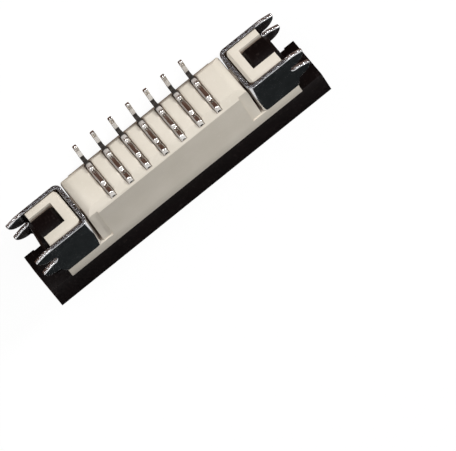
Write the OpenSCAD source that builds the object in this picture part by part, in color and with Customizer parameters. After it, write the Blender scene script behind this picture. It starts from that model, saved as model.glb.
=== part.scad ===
// Right-angle board connector for a flat flexible cable, with a slide lock.
// The board is the plane z = 0. The cable enters from -Y, the solder tails point to +Y,
// and the contact row runs along X. The origin is the bottom centre of the whole part.

/* [Contact row] */
// Distance from one contact to the next
pitch = 1; // [0.9:0.05:1.4]
// Number of contacts in the row
contact_count = 7; // [4:1:12]
// Thickness of a stamped contact, along the row
contact_t = 0.28; // [0.2:0.01:0.34]
// Height of the solder tail above the board
tail_h = 0.2; // [0.15:0.01:0.24]
// Width of the solder tail, along the row
tail_w = 0.2; // [0.14:0.01:0.28]
// Height above the tail at which the upright bar has its full width
neck_h = 0.46; // [0.2:0.02:0.6]
// Reach of the solder tails behind the housing
tail_reach = 1.43; // [1.1:0.01:1.8]
// Depth of the contact's upright bar inside its slot
spine_seat = 0.23; // [0.15:0.01:0.28]
// Furthest that the upright bar stands out behind the housing
spine_bulge = 0.19; // [0.1:0.01:0.25]
// Height of the contact's two arms, front to back section
arm_beam_h = 0.22; // [0.16:0.01:0.24]
// Rise of the contact point above the cable floor
point_rise = 0.16; // [0.08:0.01:0.2]
// Clearance on each side of a contact in its slot
slot_gap = 0.02; // [0.015:0.005:0.04]
// Width of the rounding on each edge of a slot
slot_flare = 0.14; // [0.05:0.01:0.16]
// Depth of the rounding on each edge of a slot
slot_ease = 0.16; // [0.08:0.01:0.18]
// Height of the rounded heel under the upright bar
heel_h = 0.3; // [0.2:0.01:0.36]

/* [Cable] */
// Thickness of the cable's stiffened end
cable_t = 0.3; // [0.2:0.02:0.35]
// Clearance on each side of the cable
cable_gap = 0.05; // [0.03:0.01:0.1]

/* [Housing] */
// Height of the housing's underside above the board
standoff = 0.07; // [0.05:0.01:0.14]
// Height of the housing from its lower to its upper face
housing_h = 2.46; // [2.4:0.02:2.8]
// Wall between the cable opening and the housing's side
side_wall = 0.45; // [0.35:0.01:0.6]
// Depth of the housing behind its front bar
core_d = 2.66; // [2.4:0.02:3]
// Front to back thickness of the front bar
bar_t = 0.84; // [0.7:0.02:1]
// Bevel along the front bar's upper front edge
bar_bevel = 0.2; // [0.1:0.01:0.3]
// Reach of the cable rest in front of the front bar
rest_reach = 1.72; // [1.4:0.02:2]
// Thickness of the floor under the cable
floor_t = 0.76; // [0.7:0.01:0.85]
// Thickness of the roof over the cable opening
roof_t = 0.62; // [0.5:0.01:0.7]
// Thickness of the rear wall
rear_wall = 0.6; // [0.5:0.02:0.8]
// Height of the raised middle faces, above and below
pad_h = 0.08; // [0.04:0.01:0.12]
// Chamfer along the upper and lower rear edges
rear_chamfer = 0.33; // [0.2:0.01:0.4]
// Radius of the upright rear corners
corner_r = 0.5; // [0.2:0.01:0.52]

/* [Ears] */
// Width of an ear, which carries a fitting nail
ear_w = 1.73; // [1.5:0.01:2]
// Height of an ear
ear_h = 2.09; // [1.9:0.01:2.3]
// Thickness of the ear's upright web
ear_web = 0.53; // [0.4:0.02:0.6]
// Distance of the ear's end in front of the rear face
ear_setback = 0.2; // [0.1:0.01:0.3]
// Radius of the ear's corners beside the housing
ear_r = 0.26; // [0.15:0.01:0.32]
// Bevel on the edges of the ear's end
ear_bevel = 0.14; // [0.06:0.01:0.18]

/* [Fitting nails] */
// Thickness of the nail's strip
nail_t = 0.2; // [0.14:0.01:0.22]
// Clearance between the nail's legs and the ear
nail_gap = 0.03; // [0.02:0.01:0.06]
// Clearance on each side of the nail's upright web
web_gap = 0.07; // [0.05:0.01:0.14]
// Distance of the nail's rear edge in front of the rear face
nail_setback = 0.24; // [0.2:0.01:0.4]
// Outer radius of the nail's bends
bend_r = 0.34; // [0.25:0.01:0.36]
// Reach of the prongs past the ear
prong_reach = 1; // [0.8:0.01:1.1]
// Length of the prongs from their notch
prong_l = 0.72; // [0.6:0.01:0.78]
// Width of the notch between the two prongs
notch_w = 0.34; // [0.26:0.01:0.4]
// Depth of the sloped front corner
nose_d = 0.55; // [0.4:0.01:0.7]
// Length of the tang pressed into the front bar
tang_l = 0.45; // [0.3:0.01:0.6]
// Height of the tang
tang_h = 0.8; // [0.6:0.02:1]

/* [Slider] */
// Height of the slider
slider_h = 2.24; // [2.1:0.02:2.4]
// Front to back depth of the slider
slider_d = 1.64; // [1.4:0.02:1.8]
// Gap between the closed slider and the front bar
slider_gap = 0.06; // [0.05:0.01:0.2]
// Reach of the slider past the front bar at each end
slider_reach = 1.16; // [0.95:0.01:1.25]
// Clearance between the slider's wings and the cable rest
wing_gap = 0.04; // [0.03:0.01:0.12]
// Radius of the lead-in at the wings' front inner corners
lead_r = 0.5; // [0.3:0.01:0.7]
// Travel of the slider from closed to open
travel = 1.5; // [1.2:0.02:1.6]
// Length of the wedge that presses on the cable
wedge_l = 1.35; // [1:0.05:1.6]
// Clearance above and below the wedge
wedge_gap = 0.06; // [0.04:0.01:0.08]
// Height of the side arms
side_arm_h = 1.04; // [0.9:0.02:1.14]
// Height of the side arms' middle above the board
side_arm_z = 1.27; // [1.16:0.01:1.32]
// Clearance between an arm and its channel
channel_gap = 0.03; // [0.02:0.005:0.05]
// Further clearance under the side arm, in the ear only
channel_relief = 0.1; // [0:0.02:0.2]
// Inward reach of the hook at an arm's end
hook_reach = 0.22; // [0.15:0.01:0.26]
// Distance of the arm's end in front of the ear's end
arm_setback = 0.1; // [0.05:0.01:0.2]
// How far the arm's end stands out past the ear
arm_stand = 0.19; // [0.12:0.01:0.24]
// Depth of the shallow pocket under each wing
pocket_d = 0.06; // [0.03:0.01:0.1]
// Width of the shallow pocket under each wing
pocket_w = 1.27; // [1:0.02:1.5]

/* [Hidden] */
$fn = 48;
eps = 0.01;
arc_steps = 8;
press_gap = 0.01;
arm_play = 0.06;
mouth_lead = 0.05;

// Colours
cream = "#D9D2C4";
black = "#1B1718";
tin = "#C9CACB";

// Along the row
cable_w = (contact_count + 1) * pitch;
mouth_half = cable_w / 2 + cable_gap;
core_half = mouth_half + side_wall;
web_x = core_half + web_gap;
ear_x0 = web_x + nail_t + web_gap;
ear_x1 = ear_x0 + ear_w;
prong_x = ear_x1 + prong_reach;
channel_x = ear_x0 + ear_web;
slider_half = ear_x1 + slider_reach;
wing_x = cable_w / 2 + wing_gap;

// Front to back, from the housing's rear face until the part is centred
bar_rear = -core_d;
bar_front = bar_rear - bar_t;
slider_rear = bar_front - slider_gap;
slider_front = slider_rear - slider_d;
rest_front = bar_front - rest_reach;
hook_rear = -ear_setback - arm_setback;
hook_front = bar_rear + travel + channel_gap;
centre_y = -(tail_reach + min(slider_front, rest_front)) / 2;

// Upwards from the board
low_z = standoff;
high_z = low_z + housing_h;
floor_z = low_z + floor_t;
roof_z = high_z - roof_t;
ear_z0 = nail_t + nail_gap;
ear_z1 = ear_z0 + ear_h;
nail_h = ear_z1 + nail_gap + nail_t;
tang_z0 = (nail_h - tang_h) / 2;
arm_z0 = side_arm_z - side_arm_h / 2;
arm_z1 = side_arm_z + side_arm_h / 2;
slot_w = contact_t + 2 * slot_gap;
slot_top = high_z - rear_chamfer / 5;
spine_top = slot_top - slot_gap;
groove_d = arm_beam_h + arm_play;
upper_beam_z = roof_z + groove_d - slot_gap - arm_beam_h;
lower_beam_z = floor_z - groove_d - arm_beam_h / 2;
wedge_z0 = floor_z + cable_t + wedge_gap;
wedge_z1 = roof_z - wedge_gap;

// Points along an ellipse's arc, from angle a0 to a1, about (cx, cy)
function arc(cx, cy, rx, ry, a0, a1) =
    [for (i = [0 : arc_steps]) let (a = a0 + (a1 - a0) * i / arc_steps)
        [cx + rx * cos(a), cy + ry * sin(a)]];

// Places of the contacts along the row
function contact_x(i) = (i - (contact_count + 1) / 2) * pitch;

// Box from its lowest to its highest corner
module block(low, high) {
    translate(low) cube(high - low);
}

// Plan outline drawn in X and Y, standing from z0 to z1
module upright(z0, z1) {
    translate([0, 0, z0]) linear_extrude(z1 - z0) children();
}

// Section drawn in Y and Z, running along the row from x0 to x1
module along_row(x0, x1) {
    translate([x0, 0, 0]) rotate([90, 0, 90]) linear_extrude(x1 - x0) children();
}

// Section drawn in X and Z, running from y0 back to y1
module front_to_back(y0, y1) {
    translate([0, y1, 0]) rotate([90, 0, 0]) linear_extrude(y1 - y0) children();
}

// Both ends of a part that is modelled on the +X side
module both_ends() {
    children();
    mirror([1, 0, 0]) children();
}

// Rectangle whose two corners on the low X side are rounded
module round_left(x0, x1, z0, z1, r) {
    translate([x0 + r, z0]) square([x1 - x0 - r, z1 - z0]);
    translate([x0, z0 + r]) square([r, z1 - z0 - 2 * r]);
    translate([x0 + r, z0 + r]) circle(r);
    translate([x0 + r, z1 - r]) circle(r);
}

// Housing: core with raised middle faces, front bar, cable rest and two ears
module core_block() {
    intersection() {
        union() {
            block([-core_half, bar_rear - eps, low_z + pad_h], [core_half, 0, high_z - pad_h]);
            block([-cable_w / 2, bar_rear - eps, low_z], [cable_w / 2, 0, high_z]);
        }
        along_row(-core_half, core_half) polygon([
            [bar_rear - eps, low_z],
            [-rear_chamfer, low_z],
            [0, low_z + rear_chamfer],
            [0, high_z - rear_chamfer],
            [-rear_chamfer, high_z],
            [bar_rear - eps, high_z]
        ]);
        upright(low_z, high_z) core_plan();
    }
}

// Plan of the core, with its two rear corners rounded
module core_plan() {
    translate([-core_half, bar_rear - eps]) square([2 * core_half, core_d + eps - corner_r]);
    translate([-core_half + corner_r, -corner_r]) square([2 * (core_half - corner_r), corner_r]);
    for (side = [-1, 1]) translate([side * (core_half - corner_r), -corner_r]) circle(corner_r);
}

// Front bar, which carries the slider's windows, with a bevelled upper front edge
module front_bar() {
    along_row(-ear_x1, ear_x1) polygon([
        [bar_front, low_z],
        [bar_front, high_z - bar_bevel],
        [bar_front + bar_bevel, high_z],
        [bar_rear, high_z],
        [bar_rear, low_z]
    ]);
}

// Cable rest: the floor's tongue in front of the bar, tapered near its front
module cable_rest() {
    taper = 0.05;
    half = cable_w / 2;
    upright(low_z, floor_z) polygon([
        [-half, bar_front + eps],
        [-half, rest_front + lead_r],
        [-half + taper, rest_front],
        [half - taper, rest_front],
        [half, rest_front + lead_r],
        [half, bar_front + eps]
    ]);
}

// Rib on the core's side that keeps a nail's web upright
module web_rib() {
    block(
        [core_half - eps, bar_rear - eps, side_arm_z - tang_h / 2],
        [web_x - press_gap, -corner_r, side_arm_z + tang_h / 2]
    );
}

// Ear on the +X side: a channel open outward, with a bevelled end
module ear() {
    difference() {
        intersection() {
            front_to_back(bar_rear - eps, -ear_setback)
                round_left(ear_x0, ear_x1, ear_z0, ear_z1, ear_r);
            upright(0, nail_h) polygon([
                [ear_x0, bar_rear - eps],
                [ear_x0, -ear_setback - ear_bevel],
                [ear_x0 + ear_bevel, -ear_setback],
                [ear_x1, -ear_setback],
                [ear_x1, bar_rear - eps]
            ]);
            along_row(ear_x0, ear_x1) polygon([
                [bar_rear - eps, ear_z0],
                [-ear_setback - ear_bevel / 2, ear_z0],
                [-ear_setback, ear_z0 + ear_bevel / 2],
                [-ear_setback, ear_z1 - ear_bevel / 2],
                [-ear_setback - ear_bevel / 2, ear_z1],
                [bar_rear - eps, ear_z1]
            ]);
        }
        block(
            [channel_x, bar_rear, arm_z0 - channel_gap - channel_relief],
            [ear_x1 + eps, 0, arm_z1 + channel_gap]
        );
    }
}

// Window in the front bar for the slider's side arm, open at the bar's end
module arm_window() {
    block(
        [channel_x + hook_reach, bar_front - eps, arm_z0 - channel_gap],
        [ear_x1 + eps, bar_rear + eps, arm_z1 + channel_gap]
    );
}

// Pocket in the front bar for the fitting nail's tang
module tang_pocket() {
    block(
        [web_x - press_gap, bar_rear - tang_l - press_gap, tang_z0 - press_gap],
        [web_x + nail_t + press_gap, bar_rear + eps, tang_z0 + tang_h + press_gap]
    );
}

// Opening for the cable and the slider's wedge
module cable_mouth() {
    block(
        [-mouth_half, bar_front - eps, floor_z],
        [mouth_half, -rear_wall, roof_z]
    );
}

// Slot for one contact: grooves in floor and roof, a way through the rear wall,
// and a flared recess in the rear face that is open at the board
module contact_slot() {
    half = slot_w / 2;
    groove_y = bar_front + bar_t / 4;
    block(
        [-half, groove_y, floor_z - groove_d - arm_beam_h],
        [half, -rear_wall, floor_z + eps]
    );
    block([-half, groove_y, roof_z - eps], [half, -rear_wall, roof_z + groove_d]);
    block(
        [-half, -rear_wall - eps, lower_beam_z - slot_gap],
        [half, eps - spine_seat, roof_z + groove_d]
    );
    upright(0, slot_top) slot_plan();
}

// Plan of the recess for a contact's upright bar, between two rounded lands
module slot_plan() {
    inner = slot_w / 2;
    outer = inner + slot_flare;
    polygon(concat(
        [[-inner, -spine_seat - slot_gap], [inner, -spine_seat - slot_gap]],
        arc(outer, -slot_ease, slot_flare, slot_ease, 180, 90),
        [[outer, eps], [-outer, eps]],
        arc(-outer, -slot_ease, slot_flare, slot_ease, 90, 0)
    ));
}

module housing() {
    color(cream) translate([0, centre_y, 0]) difference() {
        union() {
            core_block();
            front_bar();
            cable_rest();
            both_ends() ear();
            both_ends() web_rib();
        }
        cable_mouth();
        both_ends() arm_window();
        both_ends() tang_pocket();
        for (i = [1 : contact_count]) translate([contact_x(i), 0, 0]) contact_slot();
    }
}

// Points of one bump on a contact's upright bar: it stands out to y from z0 to z1
function bump(y, z0, z1, r) = concat(
    arc(y - r, z0 + r, r, r, -70, 0),
    arc(y - r, z1 - r, r, r, 0, 70)
);

// Contact: one stamped strip with a solder tail, an upright bar, a fixed upper arm and
// a sprung lower arm whose point presses on the cable. The bar has a knee over the tail,
// a bump in its middle and a rounded head.
module contact_profile() {
    tip_r = tail_h / 2;
    foot_r = 0.12;
    bump_r = 0.12;
    knee_z = tail_h + 0.66;
    waist_z = spine_top - 0.62;
    waist_h = 0.18;
    head_r = 0.2;
    head_y = spine_bulge - 0.1;
    polygon(concat(
        [[-spine_seat, lower_beam_z]],
        arc(heel_h - spine_seat, heel_h, heel_h, heel_h, 180, 270),
        arc(tail_reach - tip_r, tip_r, tip_r, tip_r, -90, 60),
        arc(spine_bulge + foot_r, tail_h + foot_r, foot_r, foot_r, -90, -180),
        arc(spine_bulge - bump_r, knee_z - bump_r, bump_r, bump_r, 0, 70),
        bump(spine_bulge - bump_r / 2, knee_z + bump_r / 2, waist_z - waist_h / 2, bump_r),
        arc(head_y - bump_r, waist_z + waist_h / 2 + bump_r, bump_r, bump_r, -70, 0),
        arc(head_y - head_r, spine_top - head_r, head_r, head_r, 0, 90),
        [[-spine_seat, spine_top], [-spine_seat, upper_beam_z + arm_beam_h]]
    ));
}

// The two arms and the block that joins them, inside the housing
module contact_arms() {
    root_y = -spine_seat + eps;
    tip_y = bar_front + bar_t / 2;
    flat = 0.12;
    point_y = tip_y + 0.3;
    slope_y = point_y + 0.7;
    upper_top = upper_beam_z + arm_beam_h;
    lower_top = lower_beam_z + arm_beam_h;
    polygon([
        [root_y, lower_beam_z],
        [root_y, upper_top],
        [tip_y, upper_top],
        [tip_y, upper_beam_z + mouth_lead],
        [tip_y + 2 * mouth_lead, upper_beam_z],
        [-rear_wall, upper_beam_z],
        [-rear_wall, lower_top],
        [slope_y, lower_top],
        [point_y + flat, floor_z + point_rise],
        [point_y - flat, floor_z + point_rise],
        [tip_y, floor_z - mouth_lead],
        [tip_y, floor_z - mouth_lead - arm_beam_h / 2],
        [point_y, floor_z - arm_beam_h / 2],
        [slope_y, lower_beam_z]
    ]);
}

// Rear view of a contact: a narrow tail, and a neck that widens up to the upright bar
module bar_outline() {
    full = contact_t / 2;
    narrow = min(tail_w, contact_t) / 2;
    polygon([
        [-narrow, 0],
        [narrow, 0],
        [narrow, tail_h],
        [full, tail_h + neck_h],
        [full, nail_h],
        [-full, nail_h],
        [-full, tail_h + neck_h],
        [-narrow, tail_h]
    ]);
}

// Widths of a contact: plain inside the housing, and with a round-tipped tail behind it
module contact_blank() {
    tip_r = tail_w / 2;
    block([-contact_t / 2, bar_front, 0], [contact_t / 2, eps - spine_seat, nail_h]);
    intersection() {
        front_to_back(-spine_seat, tail_reach) bar_outline();
        upright(0, nail_h) {
            translate([-contact_t / 2, -spine_seat])
                square([contact_t, tail_reach + spine_seat - tip_r]);
            translate([0, tail_reach - tip_r]) circle(tip_r);
        }
    }
}

module contact(i) {
    color(tin) translate([contact_x(i), centre_y, 0]) intersection() {
        along_row(-contact_t / 2, contact_t / 2) {
            contact_profile();
            contact_arms();
        }
        contact_blank();
    }
}

// Fitting nail: a strip bent round the ear, its legs ending in two prongs each
module nail_section() {
    difference() {
        round_left(web_x, prong_x, 0, nail_h, bend_r);
        round_left(
            web_x + nail_t, prong_x + eps,
            nail_t, nail_h - nail_t,
            bend_r - nail_t
        );
    }
}

// Points of one prong, from its front root y0 to its rear root y1. The tip is at the
// share lean of that distance, and the rear edge runs almost straight.
function prong(root_x, y0, y1, lean) = concat(
    arc(root_x, y0 + lean * (y1 - y0), prong_l, lean * (y1 - y0), -90, 0),
    [[root_x + prong_l / 4, y1 - press_gap], [root_x, y1]]
);

// Plan of the nail's two legs
module nail_plan() {
    front = bar_rear + nose_d;
    rear = -nail_setback;
    root_x = prong_x - prong_l;
    prong_w = (rear - front - notch_w) / 2;
    notch_y = front + prong_w;
    polygon(concat(
        [[web_x, rear], [web_x, bar_rear], [ear_x1, bar_rear]],
        prong(root_x, front, notch_y, 0.7),
        arc(root_x, notch_y + notch_w / 2, notch_w / 2, notch_w / 2, 270, 90),
        prong(root_x, notch_y + notch_w, rear, 0.8)
    ));
}

module fitting_nail() {
    color(tin) translate([0, centre_y, 0]) {
        intersection() {
            front_to_back(bar_rear, -nail_setback) nail_section();
            upright(0, nail_h) nail_plan();
        }
        block(
            [web_x, bar_rear - tang_l, tang_z0],
            [web_x + nail_t, bar_rear + eps, tang_z0 + tang_h]
        );
    }
}

module left_fitting_nail() {
    mirror([1, 0, 0]) fitting_nail();
}

module right_fitting_nail() {
    fitting_nail();
}

// Slider: a bar over the cable, a wing and a hooked side arm at each end, and the wedge
module wing() {
    step = 0.15;
    upright(low_z, wedge_z0 + eps) polygon(concat(
        [[slider_half, slider_rear], [wing_x, slider_rear], [wing_x, slider_front + lead_r + step]],
        arc(wing_x + step + lead_r, slider_front + lead_r, lead_r, lead_r, 180, 270),
        [[slider_half, slider_front]]
    ));
}

module wing_pocket() {
    middle = (channel_x + slider_half) / 2;
    block(
        [middle - pocket_w / 2, slider_front + pocket_w / 4, low_z - eps],
        [middle + pocket_w / 2, slider_rear + eps, low_z + pocket_d]
    );
}

// Side arm with its hook, on the +X side. It widens from its hooked end to its root.
module side_arm() {
    inner = channel_x + hook_reach + channel_gap;
    hook_x = channel_x + channel_gap;
    outer = ear_x1 + arm_stand;
    bevel = 0.16;
    flare = 0.1;
    upright(arm_z0, arm_z1) polygon([
        [inner, slider_rear - eps],
        [inner, hook_front],
        [hook_x, hook_front],
        [hook_x, hook_rear - bevel],
        [hook_x + bevel, hook_rear],
        [outer - bevel, hook_rear],
        [outer, hook_rear - bevel],
        [outer + flare, bar_rear],
        [outer + 3 * flare, slider_rear - eps]
    ]);
}

// Wedge that presses the cable on the contact points, thinned toward its end
module wedge() {
    end_y = slider_rear + wedge_l;
    end_h = 0.2;
    along_row(-cable_w / 2, cable_w / 2) polygon([
        [slider_rear - eps, wedge_z0],
        [slider_rear - eps, wedge_z1],
        [end_y, wedge_z1],
        [end_y, wedge_z1 - end_h],
        [end_y - wedge_l / 2, wedge_z0]
    ]);
}

module slider() {
    color(black) translate([0, centre_y, 0]) difference() {
        union() {
            block([-slider_half, slider_front, wedge_z0], [slider_half, slider_rear, low_z + slider_h]);
            both_ends() wing();
            both_ends() side_arm();
            wedge();
        }
        both_ends() wing_pocket();
    }
}

housing();
slider();
left_fitting_nail();
right_fitting_nail();
for (i = [1 : contact_count]) {
    contact(i);
}
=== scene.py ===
"""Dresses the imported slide-lock connector for a flat flexible cable.

The connector is a cream moulded housing, a black moulded slider, seven stamped contacts and
two bent fitting nails. Each CAD node is copied, welded, given the small edge radii that
moulding and stamping leave, and finished in a procedural material. Lengths are in
millimetres in the classes below and turned into metres where Blender needs them.
"""

import logging
import math
from abc import ABC, abstractmethod
from dataclasses import dataclass, field
from enum import Enum
from typing import Any

import bpy
from mathutils import Matrix, Vector


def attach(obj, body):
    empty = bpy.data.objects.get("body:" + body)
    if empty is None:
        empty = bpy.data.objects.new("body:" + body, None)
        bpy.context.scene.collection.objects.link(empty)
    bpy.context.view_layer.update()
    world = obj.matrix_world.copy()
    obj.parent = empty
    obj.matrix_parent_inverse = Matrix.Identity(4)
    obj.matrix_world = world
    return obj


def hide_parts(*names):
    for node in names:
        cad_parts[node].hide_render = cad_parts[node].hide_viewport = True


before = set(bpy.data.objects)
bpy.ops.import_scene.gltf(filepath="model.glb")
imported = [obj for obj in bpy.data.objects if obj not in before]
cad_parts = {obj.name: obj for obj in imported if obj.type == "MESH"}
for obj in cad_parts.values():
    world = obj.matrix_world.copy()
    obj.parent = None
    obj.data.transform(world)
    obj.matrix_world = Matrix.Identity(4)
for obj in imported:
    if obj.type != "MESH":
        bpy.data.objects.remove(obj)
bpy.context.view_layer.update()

MM = 0.001
WHITE = "#FFFFFF"
Band = tuple[float, float]
Socket = bpy.types.NodeSocket
Tree = bpy.types.NodeTree
log = logging.getLogger("connector")


class Body(Enum):
    """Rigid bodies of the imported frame."""

    BASE = "base"
    LOCK = "lock"


class Slot(Enum):
    """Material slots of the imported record."""

    HOUSING = "housing_resin"
    SLIDER = "slider_resin"
    NAIL = "nail_plating"
    CONTACT = "contact_plating"


def linear(hex_colour: str) -> tuple[float, float, float, float]:
    """Turns an sRGB colour into the linear values that shader sockets hold.

    The numbers are those of the sRGB standard's own curve.

    Args:
        hex_colour: six hexadecimal digits, with or without a leading hash.

    Returns:
        Linear red, green, blue, and an alpha of 1.
    """
    digits = hex_colour.lstrip("#")
    channels = [int(digits[i : i + 2], 16) / 255 for i in (0, 2, 4)]
    red, green, blue = (
        c / 12.92 if c <= 0.04045 else ((c + 0.055) / 1.055) ** 2.4 for c in channels
    )
    return red, green, blue, 1.0


def add_node(
    tree: Tree,
    kind: str,
    settings: dict[str, Any] | None = None,
    inputs: dict[str | int, Any] | None = None,
) -> bpy.types.Node:
    """Adds one shader node with its settings and links.

    Args:
        tree: node tree that takes the node.
        kind: Blender's type name of the node.
        settings: properties of the node itself.
        inputs: socket name or index to a value, or to an output socket that is linked in.

    Returns:
        The new node.
    """
    node = tree.nodes.new(kind)
    for name, value in (settings or {}).items():
        setattr(node, name, value)
    for name, value in (inputs or {}).items():
        if isinstance(value, Socket):
            tree.links.new(value, node.inputs[name])
        else:
            node.inputs[name].default_value = value
    return node


def blank_material(name: str) -> tuple[bpy.types.Material, Tree]:
    """Makes a material with an empty node tree.

    Args:
        name: name of the material.

    Returns:
        The material and its tree.
    """
    material = bpy.data.materials.new(name)
    material.use_nodes = True
    material.node_tree.nodes.clear()
    return material, material.node_tree


@dataclass(frozen=True)
class MouldedResin:
    """Glass-filled moulding resin, satin from the tool's spark-eroded surface.

    The tool leaves a fine even grain, and short glass fibres near the skin show as small
    flecks. The real grain of about 0.02 mm is too fine to show, so it is drawn at 0.06 mm.
    Inside narrow gaps the pale resin's colour is darkened towards brown, a painted shade from
    ambient occlusion.
    Each band is the range of a pattern's values, from 0 to 1, over which it fades in.
    """

    name: str
    colour: str
    shade: str
    fleck: str
    roughness: float
    fleck_share: float = 0.3
    specular: float = 0.5
    ior: float = 1.5
    cloud_mm: float = 1.6
    cloud_octaves: float = 3.0
    cloud_band: Band = (0.35, 0.65)
    fibre_mm: float = 0.132
    fibre_octaves: float = 1.0
    fibre_bend: float = 1.5
    fibre_band: Band = (0.62, 0.74)
    grain_mm: float = 0.06
    grain_octaves: float = 2.0
    grain_band: Band = (0.3, 0.7)
    grain_sheen: float = 0.06
    grain_depth_mm: float = 0.004
    grain_strength: float = 0.35
    # Colour and share of the painted shade inside narrow gaps.
    gap_shade: str = "#6E4A30"
    gap_shade_share: float = 0.0
    gap_mm: float = 0.55
    gap_band: Band = (0.08, 0.45)
    gap_samples: int = 8

    def build(self) -> bpy.types.Material:
        """Builds the node material.

        Returns:
            The finished material.
        """
        material, tree = blank_material(self.name)
        place = add_node(tree, "ShaderNodeTexCoord").outputs["Object"]
        grain = add_node(
            tree,
            "ShaderNodeTexNoise",
            inputs={
                "Vector": place,
                "Scale": 1 / (self.grain_mm * MM),
                "Detail": self.grain_octaves,
            },
        ).outputs["Fac"]
        satin = add_node(
            tree,
            "ShaderNodeMapRange",
            inputs={
                "Value": grain,
                "From Min": self.grain_band[0],
                "From Max": self.grain_band[1],
                "To Min": self.roughness - self.grain_sheen,
                "To Max": self.roughness + self.grain_sheen,
            },
        )
        bump = add_node(
            tree,
            "ShaderNodeBump",
            inputs={
                "Height": grain,
                "Strength": self.grain_strength,
                "Distance": self.grain_depth_mm * MM,
            },
        )
        shader = add_node(
            tree,
            "ShaderNodeBsdfPrincipled",
            inputs={
                "Base Color": self.with_painted_gap_shade(tree, self.flecked(tree, place)),
                "Roughness": satin.outputs["Result"],
                "IOR": self.ior,
                "Specular IOR Level": self.specular,
                "Normal": bump.outputs["Normal"],
            },
        )
        add_node(
            tree, "ShaderNodeOutputMaterial", inputs={"Surface": shader.outputs["BSDF"]}
        )
        return material

    def flecked(self, tree: Tree, place: Socket) -> Socket:
        """Colours the resin with its clouds and the flecks of its fibres.

        Args:
            tree: node tree of the material.
            place: place on the piece.

        Returns:
            The colour's socket.
        """
        clouds = add_node(
            tree,
            "ShaderNodeTexNoise",
            inputs={
                "Vector": place,
                "Scale": 1 / (self.cloud_mm * MM),
                "Detail": self.cloud_octaves,
            },
        )
        fibres = add_node(
            tree,
            "ShaderNodeTexNoise",
            inputs={
                "Vector": place,
                "Scale": 1 / (self.fibre_mm * MM),
                "Detail": self.fibre_octaves,
                "Distortion": self.fibre_bend,
            },
        )
        colour = linear(self.shade)
        layers = (
            (clouds, self.cloud_band, 1.0, self.colour),
            (fibres, self.fibre_band, self.fleck_share, self.fleck),
        )
        for pattern, band, share, over in layers:
            shown = add_node(
                tree,
                "ShaderNodeMapRange",
                inputs={
                    "Value": pattern.outputs["Fac"],
                    "From Min": band[0],
                    "From Max": band[1],
                    "To Max": share,
                },
            )
            colour = add_node(
                tree,
                "ShaderNodeMix",
                {"data_type": "RGBA"},
                {"Factor": shown.outputs["Result"], "A": colour, "B": linear(over)},
            ).outputs["Result"]
        return colour

    def with_painted_gap_shade(self, tree: Tree, colour: Socket) -> Socket:
        """Paints shade into the colour inside narrow gaps, from ambient occlusion.

        Args:
            tree: node tree of the material.
            colour: colour of the open faces.

        Returns:
            The colour's socket, which is the same one where no painted shade is set.
        """
        if not self.gap_shade_share:
            return colour
        # Painted shade: ambient occlusion darkens the resin towards brown inside narrow gaps.
        openness = add_node(
            tree,
            "ShaderNodeAmbientOcclusion",
            {"samples": self.gap_samples},
            {"Distance": self.gap_mm * MM},
        )
        share = add_node(
            tree,
            "ShaderNodeMapRange",
            inputs={
                "Value": openness.outputs["AO"],
                "From Min": self.gap_band[0],
                "From Max": self.gap_band[1],
                "To Min": self.gap_shade_share,
                "To Max": 0.0,
            },
        )
        gap_shaded = add_node(
            tree,
            "ShaderNodeMix",
            {"data_type": "RGBA"},
            {"Factor": share.outputs["Result"], "A": colour, "B": linear(self.gap_shade)},
        )
        return gap_shaded.outputs["Result"]


@dataclass(frozen=True)
class Relief:
    """A relief of a real size and depth, such as rolled lines, waves or speckles."""

    size_mm: float
    depth_mm: float
    octaves: float = 1.0
    strength: float = 1.0

    def lay(
        self,
        tree: Tree,
        place: Socket,
        share: Socket | None = None,
        under: Socket | None = None,
    ) -> Socket:
        """Lays the relief over a surface.

        Args:
            tree: node tree of the material.
            place: place on the piece.
            share: where it shows, from 0 to 1, in place of its even strength.
            under: normal of the relief below it.

        Returns:
            The normal's socket.
        """
        pattern = add_node(
            tree,
            "ShaderNodeTexNoise",
            inputs={
                "Vector": place,
                "Scale": 1 / (self.size_mm * MM),
                "Detail": self.octaves,
            },
        )
        inputs = {
            "Height": pattern.outputs["Fac"],
            "Strength": self.strength if share is None else share,
            "Distance": self.depth_mm * MM,
        }
        if under is not None:
            inputs["Normal"] = under
        return add_node(tree, "ShaderNodeBump", inputs=inputs).outputs["Normal"]


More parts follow.
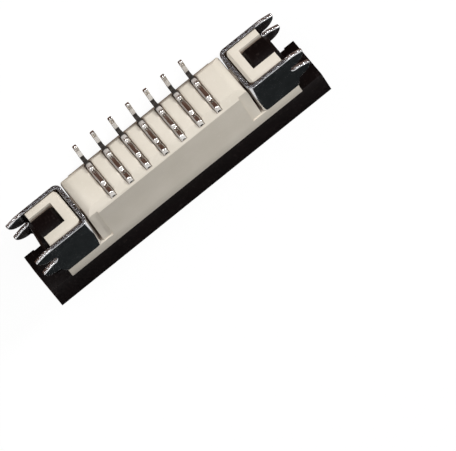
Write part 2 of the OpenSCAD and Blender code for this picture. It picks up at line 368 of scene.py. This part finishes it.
@dataclass(frozen=True)
class TinPlate(ABC):
    """Bright tin over stamped copper alloy strip.

    The plate mirrors what is round it. Rolling leaves fine lines along the strip and long
    shallow waves, and handling leaves faint clouds. Where the punch has torn the strip,
    the plate is speckled.
    """

    name: str
    colour: str
    shade: str
    roughness: float
    handled: float = 0.06
    handled_band: Band = (0.35, 0.7)
    torn_roughness: float = 0.0
    cloud_mm: float = 0.7
    cloud_octaves: float = 4.0
    cloud_band: Band = (0.3, 0.7)
    line_length: float = 12.5
    lines: Relief = Relief(size_mm=0.03, depth_mm=0.0012, octaves=2.0, strength=0.3)
    waves: Relief = Relief(size_mm=0.9, depth_mm=0.005, strength=0.5)
    speckles: Relief = Relief(size_mm=0.05, depth_mm=0.04)

    @abstractmethod
    def punched(
        self, tree: Tree, coordinates: bpy.types.Node, plain: Socket
    ) -> tuple[Socket, Socket]:
        """Finds where the punch has torn the strip, and colours the plate.

        Args:
            tree: node tree of the material.
            coordinates: its texture coordinates.
            plain: colour of the smooth tin.

        Returns:
            The torn share, from 0 to 1, and the plate's colour.
        """

    def build(self) -> bpy.types.Material:
        """Builds the node material.

        Returns:
            The finished material.
        """
        material, tree = blank_material(self.name)
        coordinates = add_node(tree, "ShaderNodeTexCoord")
        place = coordinates.outputs["Object"]
        clouds = add_node(
            tree,
            "ShaderNodeTexNoise",
            inputs={
                "Vector": place,
                "Scale": 1 / (self.cloud_mm * MM),
                "Detail": self.cloud_octaves,
            },
        ).outputs["Fac"]
        bright = add_node(
            tree,
            "ShaderNodeMapRange",
            inputs={
                "Value": clouds,
                "From Min": self.cloud_band[0],
                "From Max": self.cloud_band[1],
            },
        )
        plain = add_node(
            tree,
            "ShaderNodeMix",
            {"data_type": "RGBA"},
            {
                "Factor": bright.outputs["Result"],
                "A": linear(self.shade),
                "B": linear(self.colour),
            },
        )
        torn, colour = self.punched(tree, coordinates, plain.outputs["Result"])
        smooth = add_node(
            tree,
            "ShaderNodeMapRange",
            inputs={
                "Value": clouds,
                "From Min": self.handled_band[0],
                "From Max": self.handled_band[1],
                "To Min": self.roughness,
                "To Max": self.roughness + self.handled,
            },
        )
        rough = add_node(
            tree,
            "ShaderNodeMath",
            {"operation": "MULTIPLY_ADD"},
            {0: torn, 1: self.torn_roughness, 2: smooth.outputs["Result"]},
        )
        shader = add_node(
            tree,
            "ShaderNodeBsdfPrincipled",
            inputs={
                "Base Color": colour,
                "Metallic": 1.0,
                "Roughness": rough.outputs["Value"],
                "Normal": self.relief(tree, place, torn),
            },
        )
        add_node(
            tree, "ShaderNodeOutputMaterial", inputs={"Surface": shader.outputs["BSDF"]}
        )
        return material

    def relief(self, tree: Tree, place: Socket, torn: Socket) -> Socket:
        """Lays lines, waves and speckles over each other.

        Args:
            tree: node tree of the material.
            place: place on the piece.
            torn: where the strip is torn, from 0 to 1.

        Returns:
            The normal's socket.
        """
        along = add_node(
            tree,
            "ShaderNodeMapping",
            inputs={"Vector": place, "Scale": (1.0, 1 / self.line_length, 1.0)},
        )
        lined = self.lines.lay(tree, along.outputs["Vector"])
        wavy = self.waves.lay(tree, place, under=lined)
        return self.speckles.lay(tree, place, torn, wavy)


@dataclass(frozen=True)
class NailPlate(TinPlate):
    """Tin on the fitting nails.

    Their cut edges face front and back and are torn, and their colour is darkened as a
    painted dark reflection. On the prongs beyond the housing's ears, from prong_mm to either
    side of the middle, the edges are not darkened.
    """

    cut_band: Band = (0.3, 0.8)
    # Colour of the torn cut edges, darkened as painted shade.
    torn_edge_shade: str = "#7F8084"
    prong_mm: float = 6.6
    prong_fade_mm: float = 0.3

    def punched(
        self, tree: Tree, coordinates: bpy.types.Node, plain: Socket
    ) -> tuple[Socket, Socket]:
        """Finds the cut edges, and darkens them with painted shade apart from those of the
        prongs.

        Args:
            tree: node tree of the material.
            coordinates: its texture coordinates.
            plain: colour of the smooth tin.

        Returns:
            The torn share, from 0 to 1, and the plate's colour.
        """
        start = self.prong_mm * MM
        end = start + self.prong_fade_mm * MM
        shares = []
        for name, axis, band, low in (
            ("Normal", "Y", self.cut_band, 0.0),
            ("Object", "X", (start, end), 1.0),
        ):
            axes = add_node(
                tree, "ShaderNodeSeparateXYZ", inputs={"Vector": coordinates.outputs[name]}
            )
            either_side = add_node(
                tree, "ShaderNodeMath", {"operation": "ABSOLUTE"}, {0: axes.outputs[axis]}
            )
            share = add_node(
                tree,
                "ShaderNodeMapRange",
                inputs={
                    "Value": either_side.outputs["Value"],
                    "From Min": band[0],
                    "From Max": band[1],
                    "To Min": low,
                    "To Max": 1.0 - low,
                },
            )
            shares.append(share.outputs["Result"])
        cut, inside = shares
        # Painted shade: the cut edges, apart from the prongs', are darkened.
        cut_shade = add_node(
            tree, "ShaderNodeMath", {"operation": "MULTIPLY"}, {0: cut, 1: inside}
        )
        colour = add_node(
            tree,
            "ShaderNodeMix",
            {"data_type": "RGBA"},
            {"Factor": cut_shade.outputs["Value"], "A": plain, "B": linear(self.torn_edge_shade)},
        )
        return cut, colour.outputs["Result"]


@dataclass(frozen=True)
class ContactPlate(TinPlate):
    """Tin on the contacts, which show their cut edges to the rear.

    The punch leaves each cut edge smooth over most of its width and frosted along one side.
    The narrow neck and the flat of the solder tail are frosted all over, and the tail's tip
    is smooth. Round the foot of the neck runs a dark band, a painted reflection.
    Neck and band are heights over the board, tail and tip are depths behind the
    connector's middle, and the frost lies between two offsets from the contact's middle.
    """

    # Colour of the painted dark reflection round the foot of the neck.
    painted_reflection_band: str = "#4A4643"
    pitch_mm: float = 1.0
    frost_from_mm: float = -0.07
    frost_to_mm: float = -0.1
    neck_mm: float = 0.66
    band_mm: float = 0.48
    tail_mm: float = 2.36
    tip_mm: float = 2.88
    fade_mm: float = 0.05

    def punched(
        self, tree: Tree, coordinates: bpy.types.Node, plain: Socket
    ) -> tuple[Socket, Socket]:
        """Finds how frosted the contacts are, and paints a dark reflection band round the
        foot of the neck.

        Args:
            tree: node tree of the material.
            coordinates: its texture coordinates.
            plain: colour of the smooth tin.

        Returns:
            The frosted share, from 0 to 1, and the plate's colour.
        """
        axes = add_node(
            tree, "ShaderNodeSeparateXYZ", inputs={"Vector": coordinates.outputs["Object"]}
        ).outputs
        side = self.frosted_side(tree, axes["X"])
        neck, before_tip, foot, behind = (
            add_node(
                tree,
                "ShaderNodeMapRange",
                inputs={
                    "Value": axes[axis],
                    "From Min": start_mm * MM,
                    "From Max": (start_mm + self.fade_mm) * MM,
                    "To Min": low,
                    "To Max": 1.0 - low,
                },
            ).outputs["Result"]
            for axis, start_mm, low in (
                ("Z", self.neck_mm, 1.0),
                ("Y", self.tip_mm, 1.0),
                ("Z", self.band_mm, 1.0),
                ("Y", self.tail_mm, 0.0),
            )
        )
        either = add_node(
            tree, "ShaderNodeMath", {"operation": "MAXIMUM"}, {0: side, 1: neck}
        )
        frost = add_node(
            tree,
            "ShaderNodeMath",
            {"operation": "MULTIPLY"},
            {0: either.outputs["Value"], 1: before_tip},
        )
        # Painted reflection: a dark band round the foot of the neck, in front of the tail.
        band = add_node(
            tree,
            "ShaderNodeMath",
            {"operation": "SUBTRACT", "use_clamp": True},
            {0: foot, 1: behind},
        )
        colour = add_node(
            tree,
            "ShaderNodeMix",
            {"data_type": "RGBA"},
            {"Factor": band.outputs["Value"], "A": plain, "B": linear(self.painted_reflection_band)},
        )
        return frost.outputs["Value"], colour.outputs["Result"]

    def frosted_side(self, tree: Tree, across: Socket) -> Socket:
        """Finds the side of each cut edge that the punch leaves frosted.

        Args:
            tree: node tree of the material.
            across: place along the row of contacts.

        Returns:
            The frosted share's socket, from 0 to 1.
        """
        half = self.pitch_mm / 2 * MM
        from_middle = add_node(
            tree, "ShaderNodeMath", {"operation": "WRAP"}, {0: across, 1: half, 2: -half}
        )
        side = add_node(
            tree,
            "ShaderNodeMapRange",
            inputs={
                "Value": from_middle.outputs["Value"],
                "From Min": self.frost_from_mm * MM,
                "From Max": self.frost_to_mm * MM,
            },
        )
        return side.outputs["Result"]


def only(piece: bpy.types.Object) -> None:
    """Selects one object and makes it active.

    Args:
        piece: the object, which alone stays selected.
    """
    bpy.ops.object.select_all(action="DESELECT")
    piece.select_set(True)
    bpy.context.view_layer.objects.active = piece


@dataclass
class DressedNode:
    """One piece of the connector, made from its CAD node.

    The node's mesh is loose triangles. Its copy is welded, its flat faces are joined, and
    its edges get the radius that the real piece's tool leaves.
    """

    node: str
    name: str
    slot: Slot
    edge_mm: float
    body: Body = Body.BASE
    segments: int = 2
    sharp_deg: float = 28.0
    weld_mm: float = 0.001
    flat_deg: float = 0.5

    def make(self, finish: bpy.types.Material) -> bpy.types.Object:
        """Makes the piece, hangs it on its body and dresses it.

        Args:
            finish: material of the whole piece.

        Returns:
            The finished object.
        """
        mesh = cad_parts[self.node].data.copy()
        mesh.name = self.name
        mesh.materials.clear()
        piece = bpy.data.objects.new(self.name, mesh)
        bpy.context.scene.collection.objects.link(piece)
        only(piece)
        self.weld()
        self.round_edges(piece)
        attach(piece, self.body.value)
        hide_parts(self.node)
        piece.data.materials.append(finish)
        return piece

    def weld(self) -> None:
        """Joins the copy's loose triangles into flat faces."""
        bpy.ops.object.mode_set(mode="EDIT")
        bpy.ops.mesh.select_all(action="SELECT")
        bpy.ops.mesh.remove_doubles(threshold=self.weld_mm * MM)
        bpy.ops.mesh.dissolve_limited(angle_limit=math.radians(self.flat_deg))
        bpy.ops.object.mode_set(mode="OBJECT")

    def round_edges(self, piece: bpy.types.Object) -> None:
        """Gives every sharp edge its small radius and smooths the curved faces.

        Args:
            piece: the welded copy.
        """
        only(piece)
        bevel = piece.modifiers.new("edge radius", "BEVEL")
        bevel.width = self.edge_mm * MM
        bevel.segments = self.segments
        bevel.limit_method = "ANGLE"
        bevel.angle_limit = math.radians(self.sharp_deg)
        bevel.use_clamp_overlap = True
        bpy.ops.object.modifier_apply(modifier=bevel.name)
        bpy.ops.object.shade_smooth_by_angle(angle=math.radians(self.sharp_deg))


@dataclass
class Housing(DressedNode):
    """The cream moulding with the contact slots, the cable opening and the two ears."""

    node: str = "housing"
    name: str = "moulded_housing"
    slot: Slot = Slot.HOUSING
    edge_mm: float = 0.025


@dataclass
class Slider(DressedNode):
    """The black moulding that locks the cable."""

    node: str = "slider"
    name: str = "moulded_slider"
    slot: Slot = Slot.SLIDER
    edge_mm: float = 0.03
    body: Body = Body.LOCK


@dataclass
class FittingNail(DressedNode):
    """A strip bent round one ear, whose edges stamping and plating have left the roundest."""

    slot: Slot = Slot.NAIL
    edge_mm: float = 0.045
    segments: int = 4


@dataclass(frozen=True)
class Stretch:
    """A stretch of a contact's strip whose edges are rounded alike.

    The lowest height is under the board unless it is given, so that it cuts nothing off.
    """

    from_y_mm: float
    to_y_mm: float
    over_z_mm: float = -1.0

    def holds(self, place_mm: Vector) -> bool:
        """Tells whether a place lies on the stretch."""
        return self.from_y_mm < place_mm.y < self.to_y_mm and place_mm.z > self.over_z_mm


@dataclass
class StampedContact(DressedNode):
    """A contact, whose upright bar is rolled over along both outer edges.

    Punching and plating soften the strip's edges, so the bar's outer face is crowned from
    side to side. The tail's edges are only eased, and inside the slot they stay square.
    """

    slot: Slot = Slot.CONTACT
    edge_mm: float = 0.02
    bar: Stretch = Stretch(from_y_mm=1.7, to_y_mm=3.4, over_z_mm=0.31)
    tail: Stretch = Stretch(from_y_mm=1.95, to_y_mm=3.4)
    crown_mm: float = 0.115
    crown_segments: int = 6
    sliver_mm: float = 0.002

    def round_edges(self, piece: bpy.types.Object) -> None:
        """Crowns the upright bar and eases the tail's edges.

        Args:
            piece: the welded copy.
        """
        only(piece)
        self.bevel_edges(piece.data, self.bar, self.crown_mm, self.crown_segments)
        self.bevel_edges(piece.data, self.tail, self.edge_mm, self.segments)
        bpy.ops.object.shade_smooth_by_angle(angle=math.radians(self.sharp_deg))

    def bevel_edges(
        self, mesh: bpy.types.Mesh, stretch: Stretch, width_mm: float, segments: int
    ) -> None:
        """Rounds the sharp edges of one stretch of the strip and merges the slivers.

        Args:
            mesh: the contact's mesh.
            stretch: where the edges lie.
            width_mm: width of the rounding.
            segments: steps in the rounding.
        """
        bpy.ops.object.mode_set(mode="EDIT")
        bpy.ops.mesh.select_mode(type="EDGE")
        bpy.ops.mesh.select_all(action="DESELECT")
        bpy.ops.mesh.edges_select_sharp(sharpness=math.radians(self.sharp_deg))
        bpy.ops.object.mode_set(mode="OBJECT")
        inside = {v.index for v in mesh.vertices if stretch.holds(v.co / MM)}
        kept = [
            edge.index
            for edge in mesh.edges
            if edge.select and inside.issuperset(edge.vertices)
        ]
        bpy.ops.object.mode_set(mode="EDIT")
        bpy.ops.mesh.select_all(action="DESELECT")
        bpy.ops.object.mode_set(mode="OBJECT")
        for index in kept:
            mesh.edges[index].select = True
        bpy.ops.object.mode_set(mode="EDIT")
        bpy.ops.mesh.bevel(offset=width_mm * MM, segments=segments, clamp_overlap=False)
        bpy.ops.mesh.select_all(action="SELECT")
        bpy.ops.mesh.remove_doubles(threshold=self.sliver_mm * MM)
        bpy.ops.mesh.dissolve_degenerate(threshold=self.sliver_mm * MM)
        bpy.ops.object.mode_set(mode="OBJECT")


@dataclass
class ProductCamera:
    """Long lens from behind and above, rolled as the connector is shown."""

    azimuth_deg: float = 182.46
    elevation_deg: float = 28.91
    roll_deg: float = 139.97
    distance_mm: float = 441.6
    lens_mm: float = 783.5
    aim_mm: tuple[float, float, float] = (0.193, -2.102, 5.097)
    sensor_mm: float = 36.0
    near_mm: float = 10.0
    far_mm: float = 20000.0

    def make(self) -> bpy.types.Object:
        """Places the camera and makes it the scene's own.

        Returns:
            The camera object.
        """
        azimuth, elevation = math.radians(self.azimuth_deg), math.radians(self.elevation_deg)
        back = Vector(
            (
                math.sin(azimuth) * math.cos(elevation),
                -math.cos(azimuth) * math.cos(elevation),
                math.sin(elevation),
            )
        )
        bpy.ops.object.camera_add()
        camera = bpy.context.object
        camera.name = "product_camera"
        level = (-back).to_track_quat("-Z", "Y").to_matrix()
        turned = level @ Matrix.Rotation(math.radians(self.roll_deg), 3, "Z")
        place = Vector(self.aim_mm) * MM + back * self.distance_mm * MM
        camera.matrix_world = Matrix.Translation(place) @ turned.to_4x4()
        camera.data.lens = self.lens_mm
        camera.data.sensor_width = self.sensor_mm
        camera.data.clip_start = self.near_mm * MM
        camera.data.clip_end = self.far_mm * MM
        bpy.context.scene.camera = camera
        return camera


@dataclass(frozen=True)
class SoftBox:
    """A rectangular studio lamp, aimed at the connector."""

    name: str
    direction: tuple[float, float, float]
    distance_mm: float
    width_mm: float
    height_mm: float
    power_w: float

    def make(self) -> bpy.types.Object:
        """Places the lamp.

        Returns:
            The lamp object.
        """
        bpy.ops.object.light_add(type="AREA")
        lamp = bpy.context.object
        lamp.name = self.name
        toward = Vector(self.direction).normalized()
        lamp.matrix_world = Matrix.Translation(toward * self.distance_mm * MM) @ (
            (-toward).to_track_quat("-Z", "Y").to_matrix().to_4x4()
        )
        lamp.data.shape = "RECTANGLE"
        lamp.data.size = self.width_mm * MM
        lamp.data.size_y = self.height_mm * MM
        lamp.data.energy = self.power_w
        return lamp


@dataclass(frozen=True)
class ToneCard:
    """A dark or brown card that bright surfaces mirror, and that nothing else sees."""

    name: str
    place_mm: tuple[float, float, float]
    facing: tuple[float, float, float]
    width_mm: float
    height_mm: float
    colour: str

    def make(self) -> bpy.types.Object:
        """Stands the card up.

        Returns:
            The card object.
        """
        bpy.ops.mesh.primitive_plane_add(size=MM)
        card = bpy.context.object
        card.name = self.name
        turned = Vector(self.facing).normalized().to_track_quat("Z", "Y").to_matrix()
        card.matrix_world = (
            Matrix.Translation(Vector(self.place_mm) * MM)
            @ turned.to_4x4()
            @ Matrix.Diagonal((self.width_mm, self.height_mm, 1.0, 1.0))
        )
        card.data.materials.append(self.paper())
        card.visible_camera = False
        card.visible_diffuse = False
        card.visible_transmission = False
        card.visible_shadow = False
        return card

    def paper(self) -> bpy.types.Material:
        """Makes the card's matt paper.

        Returns:
            The material.
        """
        material, tree = blank_material(f"{self.name}_paper")
        matt = add_node(
            tree, "ShaderNodeBsdfDiffuse", inputs={"Color": linear(self.colour)}
        )
        add_node(
            tree, "ShaderNodeOutputMaterial", inputs={"Surface": matt.outputs["BSDF"]}
        )
        return material


@dataclass
class Studio:
    """White floor, two soft boxes, cards for the metal to mirror, and the world.

    The tops of the nails mirror the front card, faces square to the lens mirror the lens
    card, and upright faces mirror the floor card, which is brown as a bench would be.
    """

    floor_mm: float = 2000.0
    backdrop: float = 1.0
    ambient: float = 0.3
    floor_glow: float = 0.94
    floor_colour: str = "#F1F0EE"
    floor_shading: str = "#626262"
    lamps: list[SoftBox] = field(
        default_factory=lambda: [
            SoftBox(
                "side_softbox",
                direction=(0.8, 0.56, 0.3),
                distance_mm=500,
                width_mm=60,
                height_mm=60,
                power_w=1.3,
            ),
            SoftBox(
                "rear_softbox",
                direction=(-0.16, 0.88, 0.22),
                distance_mm=500,
                width_mm=240,
                height_mm=240,
                power_w=1.1,
            ),
        ]
    )
    cards: list[ToneCard] = field(
        default_factory=lambda: [
            ToneCard(
                "front_card",
                place_mm=(0, -160, 90),
                facing=(0, 1, 0),
                width_mm=170,
                height_mm=230,
                colour="#272A2B",
            ),
            ToneCard(
                "lens_card",
                place_mm=(-11, 262, 145),
                facing=(0.04, -0.87, -0.48),
                width_mm=300,
                height_mm=90,
                colour="#1B1917",
            ),
            ToneCard(
                "floor_card",
                place_mm=(0, 20, 0.02),
                facing=(0, 0, 1),
                width_mm=260,
                height_mm=120,
                colour="#84675A",
            ),
        ]
    )

    def make(self) -> None:
        """Builds floor, lamps, cards and world."""
        self.make_floor()
        for lamp in self.lamps:
            lamp.make()
        for card in self.cards:
            card.make()
        self.make_world()

    def seen_white(self, tree: Tree) -> Socket:
        """Finds the rays that see the background white.

        Args:
            tree: node tree of the floor or the world.

        Returns:
            1 for camera, glossy and transmission rays, and 0 for light bounces.
        """
        path = add_node(tree, "ShaderNodeLightPath")
        mirrored = add_node(
            tree,
            "ShaderNodeMath",
            {"operation": "MAXIMUM"},
            {0: path.outputs["Is Glossy Ray"], 1: path.outputs["Is Transmission Ray"]},
        )
        seen = add_node(
            tree,
            "ShaderNodeMath",
            {"operation": "MAXIMUM"},
            {0: path.outputs["Is Camera Ray"], 1: mirrored.outputs["Value"]},
        )
        return seen.outputs["Value"]

    def make_floor(self) -> bpy.types.Object:
        """Makes the pale floor, which looks white and keeps the connector's shadow.

        Where it is seen it glows a little under white, and its dim matt part makes up the
        rest, so a shadow still falls on it. Light bounces off its own pale colour.

        Returns:
            The floor object.
        """
        bpy.ops.mesh.primitive_plane_add(size=self.floor_mm * MM, location=(0, 0, 0))
        floor = bpy.context.object
        floor.name = "studio_floor"
        material, tree = blank_material("pale_floor")
        matt, dim = (
            add_node(
                tree, "ShaderNodeBsdfDiffuse", inputs={"Color": linear(colour)}
            ).outputs["BSDF"]
            for colour in (self.floor_colour, self.floor_shading)
        )
        glow = add_node(
            tree,
            "ShaderNodeEmission",
            inputs={"Color": linear(WHITE), "Strength": self.floor_glow},
        )
        white = add_node(
            tree, "ShaderNodeAddShader", inputs={0: glow.outputs["Emission"], 1: dim}
        )
        mixed = add_node(
            tree,
            "ShaderNodeMixShader",
            inputs={0: self.seen_white(tree), 1: matt, 2: white.outputs["Shader"]},
        )
        add_node(
            tree, "ShaderNodeOutputMaterial", inputs={"Surface": mixed.outputs["Shader"]}
        )
        floor.data.materials.append(material)
        return floor

    def make_world(self) -> None:
        """Makes the world: white where it is seen, and a softer light on the connector."""
        world = bpy.data.worlds.new("studio_world")
        bpy.context.scene.world = world
        world.use_nodes = True
        tree = world.node_tree
        tree.nodes.clear()
        white, soft = (
            add_node(
                tree,
                "ShaderNodeBackground",
                inputs={"Color": linear(WHITE), "Strength": strength},
            ).outputs["Background"]
            for strength in (self.backdrop, self.ambient)
        )
        shown = add_node(
            tree,
            "ShaderNodeMixShader",
            inputs={0: self.seen_white(tree), 1: soft, 2: white},
        )
        add_node(
            tree, "ShaderNodeOutputWorld", inputs={"Surface": shown.outputs["Shader"]}
        )


@dataclass
class Connector:
    """The whole connector: its finishes and its pieces."""

    cream: MouldedResin = MouldedResin(
        "cream_moulded_nylon",
        colour="#DFD7CA",
        shade="#D8D0C2",
        fleck="#E8E2D8",
        roughness=0.5,
        # Painted shade in narrow gaps.
        gap_shade_share=0.9,
    )
    black: MouldedResin = MouldedResin(
        "black_moulded_polyester",
        colour="#0E0707",
        shade="#0A0505",
        fleck="#3A3230",
        roughness=0.36,
        fleck_share=0.6,
        specular=0.14,
    )
    nail_tin: NailPlate = NailPlate(
        "tin_plated_brass_strip", colour="#E2E2E3", shade="#C2C2C4", roughness=0.08
    )
    contact_tin: ContactPlate = ContactPlate(
        "tin_plated_bronze_strip",
        colour="#DEDCD9",
        shade="#C9C4BF",
        roughness=0.1,
        handled=0.14,
        torn_roughness=0.6,
        waves=Relief(size_mm=0.9, depth_mm=0.012, strength=0.5),
        speckles=Relief(size_mm=0.05, depth_mm=0.002),
    )
    contact_count: int = 7

    def pieces(self) -> list[tuple[DressedNode, bpy.types.Material]]:
        """Lists every piece with its finish.

        Returns:
            The pieces in the order in which they are made.
        """
        cream, black = self.cream.build(), self.black.build()
        nail_tin, contact_tin = self.nail_tin.build(), self.contact_tin.build()
        listed = [(Housing(), cream), (Slider(), black)]
        for side in ("left", "right"):
            nail = FittingNail(f"{side}_fitting_nail", f"{side}_bent_nail")
            listed.append((nail, nail_tin))
        for number in range(1, self.contact_count + 1):
            contact = StampedContact(f"contact_{number}", f"stamped_contact_{number}")
            listed.append((contact, contact_tin))
        return listed

    def make(self) -> None:
        """Makes and dresses every piece."""
        for piece, finish in self.pieces():
            made = piece.make(finish)
            log.info("%s: %d faces", made.name, len(made.data.polygons))


def main() -> None:
    """Builds the camera, the studio and the connector."""
    logging.basicConfig(level=logging.INFO, format="%(name)s: %(message)s")
    ProductCamera().make()
    Studio().make()
    Connector().make()
    bpy.context.scene.view_settings.view_transform = "Standard"


if __name__ == "__main__":
    main()
